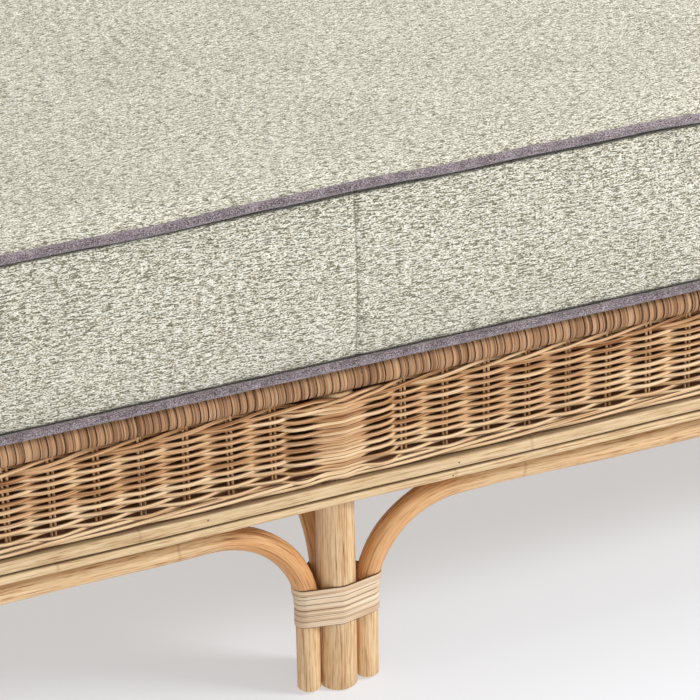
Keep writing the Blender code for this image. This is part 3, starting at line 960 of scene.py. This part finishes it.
def fill_woven_rows(tree):
    """Rows that swing between the stakes. The lowest rows can flare outwards and be painted lighter, as
    painted light on the foot of the weave.
    """
    line = tree.node("GeometryNodeMeshToCurve", None, {"Mesh": tree.given("Geometry")})
    sockets = {"Geometry": line, "Amount": tree.given("Rows")}
    line = tree.node("GeometryNodeDuplicateElements", {"domain": "SPLINE"}, sockets)
    row = Wire(tree, line.socket.node.outputs["Duplicate Index"])
    seed, swing, along = tree.given("Seed"), tree.named("swing"), tree.named("along")

    def noise_along(waves, row_step, seed_step, detail=1.0, roughness=0.5, offset=0.0):
        """Noise that runs along a strand and differs from row to row."""
        place = tree.joined(along * waves, row * row_step, seed * seed_step + offset)
        return tree.noise(place, (1, 1, 1), detail, roughness)

    def lowest(rows):
        """1 at the lowest row, falling to 0 within some rows."""
        return (1 - row / rows).maths("MAXIMUM", 0.0)

    turn = (tree.named("phase") + row) * (2 * math.pi) / tree.given("Stakes_Per_Wave")
    line = tree.keep(line, "along", along + row * 3.7 + seed * 11.3)
    wobble = tree.given("Wobble") * 4.0
    sway = (noise_along(40.0, 9.1, 3.3, offset=40.0) - 0.5) * wobble * swing * 0.5
    outward = turn.maths("COSINE") * swing * tree.given("Swing") + sway
    outward = outward + lowest(3.0) * tree.given("Flare") * swing
    sockets = {0: tree.named("facing", "FLOAT_VECTOR"), "Scale": outward}
    swung = tree.node("ShaderNodeVectorMath", {"operation": "SCALE"}, sockets)
    lift = turn.maths("SINE") * tree.given("Lift") + (noise_along(55.0, 7.3, 5.1) - 0.5) * wobble
    raised = tree.joined(0.0, 0.0, row * tree.given("Row_Height") + lift)
    offset = tree.node("ShaderNodeVectorMath", {"operation": "ADD"}, {0: swung, 1: raised})
    line = tree.node("GeometryNodeSetPosition", None, {"Geometry": line, "Offset": offset})
    sockets = {2: 0.92, 3: 1.08, "ID": row, "Seed": seed}
    chance = tree.node("FunctionNodeRandomValue", {"data_type": "FLOAT"}, sockets, 1)
    knots = noise_along(30.0, 4.7, 7.7, 2.0)
    line = tree.keep(line, "size", chance * (0.88 + knots * 0.24) * (0.94 + swing * 0.06))
    shade = noise_along(3.0, 13.7, 2.9, 2.0, 0.7)
    # Painted light: the lowest rows get a lighter tone, for the light that the foot of the weave catches.
    line = tree.keep(line, "tone", tree.stretch(shade, 0.32, 0.68) + lowest(10.0) * tree.given("Paler"))
    tree.close(sweep(tree, line, True))


fill_woven_rows(woven_rows)

# %% The apron's line
RAIL_OUT = abs(sum(corner.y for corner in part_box("top_rail_front")) / 2) - leg_y
ROUND_LEG = post_radius + 0.0021
STAKE_FROM_LEG = 0.057
CROSSING = 0.019
STEPS_PER_STAKE = 8
LEG_STEPS = 14
LEG_ARC = math.radians(11)


def apron_line(legs, intervals):
    """(along, out, phase, swing) along one side: straight at the stakes, and out round each leg."""
    toward = math.atan2(RAIL_OUT, STAKE_FROM_LEG)
    tangent = toward + math.acos(ROUND_LEG / math.hypot(RAIL_OUT, STAKE_FROM_LEG))
    touch_x, touch_y = ROUND_LEG * math.cos(tangent), ROUND_LEG * math.sin(tangent)
    rows, phase = [], 0.0

    def beside_leg(leg, side, phase):
        """From the first stake on one side of a leg to the leg, where the swing has died away."""
        made = []
        for share in np.linspace(0, 1, LEG_STEPS)[:-1]:
            away = STAKE_FROM_LEG + (touch_x - STAKE_FROM_LEG) * share
            out = RAIL_OUT + (touch_y - RAIL_OUT) * share
            turned = min(1.0, (STAKE_FROM_LEG - away) / CROSSING)
            made.append((leg + side * away, out, phase - side * turned, float(ease(away, 0.013, 0.034))))
        return made

    for i, leg in enumerate(legs):
        if i > 0:
            start, stop = legs[i - 1] + STAKE_FROM_LEG, leg - STAKE_FROM_LEG
            count = intervals * STEPS_PER_STAKE
            for k in range(count):
                place = start + (stop - start) * k / count
                rows.append((place, RAIL_OUT, phase + k / STEPS_PER_STAKE, 1.0))
            phase += intervals
            rows += beside_leg(leg, -1, phase)
            phase += 1
        first = 3 * math.pi / 4 if i == 0 else math.pi - tangent
        last = math.pi / 4 if i == len(legs) - 1 else tangent
        for angle in np.linspace(first, last, max(3, math.ceil((first - last) / LEG_ARC))):
            rows.append((leg + ROUND_LEG * math.cos(angle), ROUND_LEG * math.sin(angle), phase, 0.0))
        if i < len(legs) - 1:
            rows += beside_leg(leg, 1, phase + 1)[:0:-1]
            phase += 1
    return np.array(rows)


def apron_path(line, axis, outward, distance, height):
    """Places one side's line in the bed, with its facing."""
    points = np.zeros((len(line), 3))
    points[:, axis] = line[:, 0]
    points[:, 1 - axis] = (distance + line[:, 1]) * outward[1 - axis]
    points[:, 2] = height
    turned = np.gradient(points[:, :2], axis=0)
    facing = np.zeros((len(line), 3))
    facing[:, 0], facing[:, 1] = turned[:, 1], -turned[:, 0]
    facing /= np.linalg.norm(facing, axis=1)[:, None]
    facing *= np.sign(facing @ np.array(outward, float))[:, None]
    return {"points": points, "facing": facing, "phase": line[:, 2], "swing": line[:, 3]}


# %% Weave the four sides
STAKE_SPREAD = 0.0018
STAKE_THICK = 0.0028
STAKE_PITCH = 0.0374
STAKE_POINTS = 5
ROWS = 19
FIRST_ROW_UP = 0.0034
ROW_GAP = 0.0024
ROW_FLARE = 0.0055
# How much lighter the lowest rows and the foot edge are painted, as painted light on the foot of the weave.
ROW_PAINTED_LIGHT = 0.7
STRAND_WIDTH = 0.0039
STRAND_THICK = 0.0029
WALE_WIDTH = 0.0037
WALE_THICK = 0.0034
WALE_LIFT = 0.0029
WALE_SWING = 0.0032
FOOT_LIFT = 0.0023
FOOT_PROUD = 0.0075
FOOT_TWIST = 2.3
FOOT_SINK = 0.0006
FOOT_PAINTED_LIGHT = 0.9
AROUND_LEG_SWING = 0.35


def stake_paths(legs, intervals, axis, outward, distance, low, high):
    """Pairs of thin stakes between the legs."""
    paths = []
    for start, stop in zip(legs, legs[1:]):
        for k in range(intervals + 1):
            place = start + STAKE_FROM_LEG + (stop - start - 2 * STAKE_FROM_LEG) * k / intervals
            for side in (-1, 1):
                lean = (draw.random() - 0.5) * 0.0012
                points = np.zeros((STAKE_POINTS, 3))
                points[:, axis] = place + side * STAKE_SPREAD + lean * np.linspace(-1, 1, STAKE_POINTS)
                points[:, 1 - axis] = (distance + RAIL_OUT) * outward[1 - axis]
                points[:, 2] = np.linspace(low, high, STAKE_POINTS)
                tone = 0.2 + 0.5 * draw.random()
                paths.append({"points": points, "tone": tone, "start": draw.random() * 9})
    return paths


def joined_piece(name, parts):
    """Joins finished meshes into the first of them."""
    first = parts[0]
    with bpy.context.temp_override(active_object=first, selected_editable_objects=parts, object=first):
        bpy.ops.object.join()
    first.name = name
    first.data.name = name
    return first


for seed, (name, axis, outward) in enumerate(SIDES):
    node = f"apron_weave_{name}"
    low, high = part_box(node)
    distance, legs, intervals, sides = leg_y, (-leg_x, 0.0, leg_x), 22, 8
    if axis == 1:
        distance, legs, intervals, sides = leg_x, (-leg_y, leg_y), 18, 6
    line = apron_line(legs, intervals)
    foot_wale = low.z + FOOT_LIFT + STRAND_WIDTH / 2 - FOOT_SINK
    head_wale = high.z - WALE_LIFT - STRAND_WIDTH / 2
    first_row = foot_wale + FIRST_ROW_UP
    row_height = (head_wale - WALE_LIFT - ROW_GAP - first_row) / (ROWS - 1)
    mesh = path_mesh(node, [apron_path(line, axis, outward, distance, first_row)])
    parts = [grow(woven_rows, f"rows_{name}", mesh, Rows=ROWS, Row_Height=row_height, Sides=sides,
                  Seed=seed + 1, Width=STRAND_WIDTH, Thickness=STRAND_THICK, Flare=ROW_FLARE,
                  Paler=ROW_PAINTED_LIGHT, Material=reed)]
    wales = ((foot_wale, FOOT_PROUD, FOOT_TWIST, FOOT_LIFT, FOOT_LIFT, FOOT_PAINTED_LIGHT),
             (head_wale, 0.0, 1.0, WALE_LIFT, WALE_SWING, 0.0))
    for k, (height, proud, twist, lift, swing, painted_light) in enumerate(wales):
        edge_line = line.copy()
        edge_line[:, 1] = np.maximum(line[:, 1], RAIL_OUT + proud)
        edge_line[:, 2] = (line[:, 0] - line[0, 0]) / STAKE_PITCH / twist
        edge_line[:, 3] = np.maximum(line[:, 3], AROUND_LEG_SWING)
        mesh = path_mesh(node, [apron_path(edge_line, axis, outward, distance, height)])
        parts.append(grow(woven_rows, f"wale_{name}_{k}", mesh, Rows=3, Row_Height=0.0,
                          Stakes_Per_Wave=3.0, Lift=lift, Swing=swing, Sides=sides, Seed=seed + 11 + k,
                          Wobble=0.00015, Width=WALE_WIDTH, Thickness=WALE_THICK, Paler=painted_light,
                          Material=reed))
    stakes = stake_paths(legs, intervals, axis, outward, distance, low.z - 0.004, high.z + 0.002)
    parts.append(grow_round(f"stakes_{name}", node, stakes, STAKE_THICK, 6, reed))
    finish_piece(joined_piece(f"woven_apron_{name}", parts), "woven_rattan", node)
print("row height", round(row_height * 1000, 2), "mm")

# %% [markdown]
# ## Woven ends
# Each raised end is a sheet of the same weave inside the bent hoop, leaning outwards with it. The
# rows are clipped to the hoop's round corners, so each is worked out in the leaning plane and then
# turned into place.

# %% End panels
PANEL_ROW = 0.0040
PANEL_STRAND = 0.0036
PANEL_SWING = 0.0030
PANEL_STAKES = 20
PANEL_STAKE_THICK = 0.0034
PANEL_STAKE_SPREAD = 0.0021
PANEL_FIRST_ROW = 0.008
PANEL_TUCK = 0.001
PANEL_CALM = 0.016


def opening(place, end, across):
    """How far the opening reaches across at a place along it, as its corners are round."""
    radius = HOOP_BENDS[1] - post_radius
    over = max(0.0, place - (end - radius))
    return across - radius + math.sqrt(max(0.0, radius ** 2 - over ** 2))


def make_panel(side, name):
    node = f"end_panel_{name}"
    hoop_low, hoop_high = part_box(f"end_hoop_{name}")
    lean_x = abs((hoop_low.x if side < 0 else hoop_high.x) - side * leg_x) - post_radius
    kink = hoop_high.z - post_radius - lean_x / math.tan(HOOP_LEAN)
    up_slope = np.array((side * math.sin(HOOP_LEAN), 0, math.cos(HOOP_LEAN)))
    outward = np.array((side * math.cos(HOOP_LEAN), 0, -math.sin(HOOP_LEAN)))
    origin = np.array((side * leg_x, 0, kink))
    top = (hoop_high.z - post_radius - kink) / math.cos(HOOP_LEAN) - post_radius + PANEL_TUCK
    half = leg_y - post_radius + PANEL_TUCK
    pitch = 2 * half / PANEL_STAKES

    def leaning(rise, out, y):
        """Points in the leaning plane, turned into place."""
        return origin + np.outer(rise, up_slope) + np.outer(out, outward) + np.outer(y, (0, 1, 0))

    rows = []
    for row in range(int((top - 0.010) / PANEL_ROW)):
        height = PANEL_FIRST_ROW + row * PANEL_ROW
        width = opening(height, top, half)
        y = np.linspace(-width, width, max(8, int(2 * width / pitch * 6)))
        swing = PANEL_SWING * ease(width - np.abs(y), 0.0, PANEL_CALM)
        out = swing * np.cos(math.pi * (y / pitch + row)) + 0.0003 * np.sin(y * 60 + draw.random() * 6)
        rise = height + 0.0004 * np.sin(y * 35 + draw.random() * 6)
        tone = draw.random() + 0.5 * np.sin(y * 4 + draw.random() * 6)
        rows.append({"points": leaning(rise, out, y), "tone": np.clip(tone, 0, 1),
                     "start": draw.random() * 9, "size": 1 + 0.10 * (draw.random() - 0.5)})
    stakes = []
    for k in range(-PANEL_STAKES // 2 + 1, PANEL_STAKES // 2):
        for shift in (-PANEL_STAKE_SPREAD, PANEL_STAKE_SPREAD):
            y = k * pitch + shift
            rise = np.linspace(0.002, opening(abs(y), half, top), 6)
            points = leaning(rise, np.zeros(6), np.full(6, y))
            stakes.append({"points": points, "tone": draw.random() * 0.6, "start": draw.random() * 9})
    parts = [grow_round(f"panel_rows_{node}", node, rows, PANEL_STRAND, 6, reed),
             grow_round(f"panel_stakes_{node}", node, stakes, PANEL_STAKE_THICK, 6, reed)]
    return finish_piece(joined_piece(f"woven_{node}", parts), "woven_rattan", node)


make_panel(-1, "left")
make_panel(1, "right")

# %% [markdown]
# ## The mattress
# The cover is sewn from a top, a base and a boxing strip, around a foam block. A grid of squares
# makes all three at once, and Blender's cloth simulation blows it up a little against its seams,
# which stay put. How far a point may move is capped, because foam holds the cloth near its shape.
# The boxing is one strip that meets itself in an upright seam near the middle of the front.

# %% The cover's grid
BED_CORNER = 0.040
GRID = 0.0150
JOIN_X = 0.011
JOIN_HALF = 0.0010
BOXING_ROWS = 10

bed_x, bed_y, bed_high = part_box("mattress_top")[1]
bed_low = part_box("mattress_base")[0].z


def columns(half, join=None):
    """Places of the grid lines along one direction, with a narrow pair at a join."""
    if join is None:
        return np.linspace(-half, half, 2 * round(half / GRID) + 1)
    left = np.linspace(-half, join - JOIN_HALF, round((half + join) / GRID))
    right = np.linspace(join + JOIN_HALF, half, round((half - join) / GRID))
    return np.concatenate([left, [join], right])


def rounded_place(x, y):
    """Pulls the grid's square corners into round ones."""
    straight_x, straight_y = bed_x - BED_CORNER, bed_y - BED_CORNER
    a = max(0.0, (abs(x) - straight_x) / BED_CORNER)
    b = max(0.0, (abs(y) - straight_y) / BED_CORNER)
    if a > 0 and b > 0:
        x = math.copysign(straight_x + BED_CORNER * a * math.sqrt(1 - b * b / 2), x)
        y = math.copysign(straight_y + BED_CORNER * b * math.sqrt(1 - a * a / 2), y)
    return x, y


def edge_wave(x, y):
    """How far the top seam rises and falls along its length, in metres."""
    place = x if abs(abs(y) - bed_y) < 0.03 else y
    waves = ((0.0011, 9.1, 0.6), (0.0007, 23, 2.0), (0.0004, 51, 0.0))
    return sum(height * math.sin(place * rate + start) for height, rate, start in waves)


xs, ys = columns(bed_x, JOIN_X), columns(bed_y)
nx, ny = len(xs), len(ys)
join_column = int(np.argmin(np.abs(xs - JOIN_X)))
points, faces, cloth = [], [], []


def add_sheet(height, flip):
    """One panel as a grid. Returns the vertex number of each grid place."""
    numbers = np.zeros((nx, ny), int)
    for i, x in enumerate(xs):
        for j, y in enumerate(ys):
            numbers[i, j] = len(points)
            points.append((*rounded_place(x, y), height))
    for i in range(nx - 1):
        for j in range(ny - 1):
            ring = [(i, j), (i + 1, j), (i + 1, j + 1), (i, j + 1)]
            if flip:
                ring = ring[::-1]
            faces.append([int(numbers[a, b]) for a, b in ring])
            cloth.append([(xs[a], ys[b]) for a, b in ring])
    return numbers


top = add_sheet(bed_high, False)
bottom = add_sheet(bed_low, True)
around = [(i, 0) for i in range(join_column, nx - 1)] + [(nx - 1, j) for j in range(ny - 1)]
around += [(i, ny - 1) for i in range(nx - 1, 0, -1)] + [(0, j) for j in range(ny - 1, 0, -1)]
around += [(i, 0) for i in range(join_column)]
top_ring, base_ring = [int(top[p]) for p in around], [int(bottom[p]) for p in around]
rings = [base_ring]
for level in range(1, BOXING_ROWS):
    height = bed_low + (bed_high - bed_low) * level / BOXING_ROWS
    rings.append(list(range(len(points), len(points) + len(around))))
    points += [(*points[v][:2], height) for v in top_ring]
rings.append(top_ring)
loop = np.array([points[v][:2] for v in top_ring + top_ring[:1]])
travel = lengths(loop)
for level, (lower, upper) in enumerate(zip(rings, rings[1:])):
    low = BOXING_HEIGHT * level / BOXING_ROWS + BOXING_LEVEL
    high = BOXING_HEIGHT * (level + 1) / BOXING_ROWS + BOXING_LEVEL
    for k in range(len(around)):
        j = (k + 1) % len(around)
        start, stop = travel[k], travel[k + 1]
        faces.append([lower[k], lower[j], upper[j], upper[k]])
        cloth.append([(start, low), (stop, low), (stop, high), (start, high)])
cover_mesh = bpy.data.meshes.new("mattress_cover")
cover_mesh.from_pydata(points, [], faces)
layer = cover_mesh.uv_layers.new(name="cloth")
layer.data.foreach_set("uv", np.array([uv for face in cloth for uv in face], np.float32).ravel())
cover_mesh.materials.append(chenille)
cover = bpy.data.objects.new("mattress_cover", cover_mesh)
scene.collection.objects.link(cover)
print("cover:", len(points), "points, boxing", round(travel[-1], 3), "m long")

# %% Blow it up against its seams
SIM_FRAMES = 20
SWELL = 0.0080
SEAM_STEP = 0.0016
SEAM_CREASE = 0.8
rest = np.array(points)
pins = cover.vertex_groups.new(name="seams")
pins.add(top_ring + bottom.ravel().tolist(), 1.0, "REPLACE")


def simulate_cover():
    """Runs the cloth and returns each point's place."""
    cloth_maker = cover.modifiers.new("cloth", "CLOTH")
    settings = cloth_maker.settings
    values = {
        "quality": 5, "mass": 0.4, "tension_stiffness": 12, "compression_stiffness": 12,
        "shear_stiffness": 6, "bending_stiffness": 1.5, "use_pressure": True,
        "uniform_pressure_force": 3.0, "vertex_group_mass": "seams", "pin_stiffness": 5,
        "shrink_min": -0.006,
    }
    for key, value in values.items():
        setattr(settings, key, value)
    settings.effector_weights.gravity = 0
    cloth_maker.collision_settings.use_collision = False
    cloth_maker.point_cache.frame_end = SIM_FRAMES
    for step in range(1, SIM_FRAMES + 1):
        scene.frame_set(step)
    graph = bpy.context.evaluated_depsgraph_get()
    blown = cover.evaluated_get(graph).data
    places = np.zeros(len(points) * 3)
    blown.vertices.foreach_get("co", places)
    cover.modifiers.clear()
    scene.frame_set(1)
    return places.reshape(-1, 3)


moved = simulate_cover() - rest
far = np.linalg.norm(moved, axis=1)
print("largest move", round(far.max() * 1000, 1), "mm")
places = rest + moved * (SWELL * np.tanh(far / SWELL) / np.maximum(far, 1e-9))[:, None]
for v in top_ring:
    places[v, 2] += edge_wave(*rest[v, :2])
join_line = [ring[0] for ring in rings[1:-1]]
places[join_line, 1] += SEAM_STEP
cover.data.vertices.foreach_set("co", places.ravel())
marks = np.zeros(len(points), np.float32)
marks[join_line] = 1
cover.data.attributes.new("seam", "FLOAT", "POINT").data.foreach_set("value", marks)
ends = np.zeros(len(cover.data.edges) * 2, int)
cover.data.edges.foreach_get("vertices", ends)
on_seam = np.isin(ends.reshape(-1, 2), base_ring + top_ring).all(axis=1)
crease = cover.data.attributes.new("crease_edge", "FLOAT", "EDGE")
crease.data.foreach_set("value", on_seam.astype(np.float32) * SEAM_CREASE)
smooth = cover.modifiers.new("smooth", "SUBSURF")
smooth.levels = smooth.render_levels = 1
graph = bpy.context.evaluated_depsgraph_get()
fine = bpy.data.meshes.new_from_object(
    cover.evaluated_get(graph), preserve_all_data_layers=True, depsgraph=graph
)
cover.modifiers.clear()
cover.data = fine
cover.data.shade_smooth()
sewn = [f"mattress_{part}" for part in ("top", "base", "boxing", "foam")]
finish_piece(cover, "mattress_fabric", *sewn, body="mattress")

# %% [markdown]
# ## Piping
# The welt is a cord sewn into the seams at the top and the base. It runs round the same outline as
# the cover, a little outside it, and rises and falls with the seam.

# %% Piping
CORD_WIDER = 1.1


def make_piping(node, waves):
    low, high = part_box(node)
    radius = (high.z - low.z) / 2
    out = high.x - radius - bed_x
    line = []
    for k in range(len(loop) - 1):
        along = unit(loop[(k + 1) % (len(loop) - 1)] - loop[k - 1])
        x, y = loop[k, 0] + along[1] * out, loop[k, 1] - along[0] * out
        line.append((x, y, (low.z + high.z) / 2 + (edge_wave(x, y) if waves else 0.0)))
    sway = 1 + 0.03 * np.sin(travel[:-1] * 140) + 0.03 * np.sin(travel[:-1] * 83 + 1)
    path = {"points": np.array(line), "size": sway, "closed": True}
    piece = grow_round(node + "_cord", node, [path], 2 * CORD_WIDER * radius, 14, welt)
    return finish_piece(piece, "piping_fabric", node, body="mattress")


make_piping("piping_top", True)
make_piping("piping_base", False)

# %% [markdown]
# ## Slats and ledgers
# The timber under the mattress keeps the plain model's boards, which are already the right shape,
# and takes a timber finish that reads their places.

# %% Timber
for name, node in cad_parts.items():
    if name.startswith(("slat", "ledger")):
        node.data.materials.clear()
        # The ledgers take the dark timber as painted shade behind the weave.
        node.data.materials.append(timber if name.startswith("slat") else stained_timber)
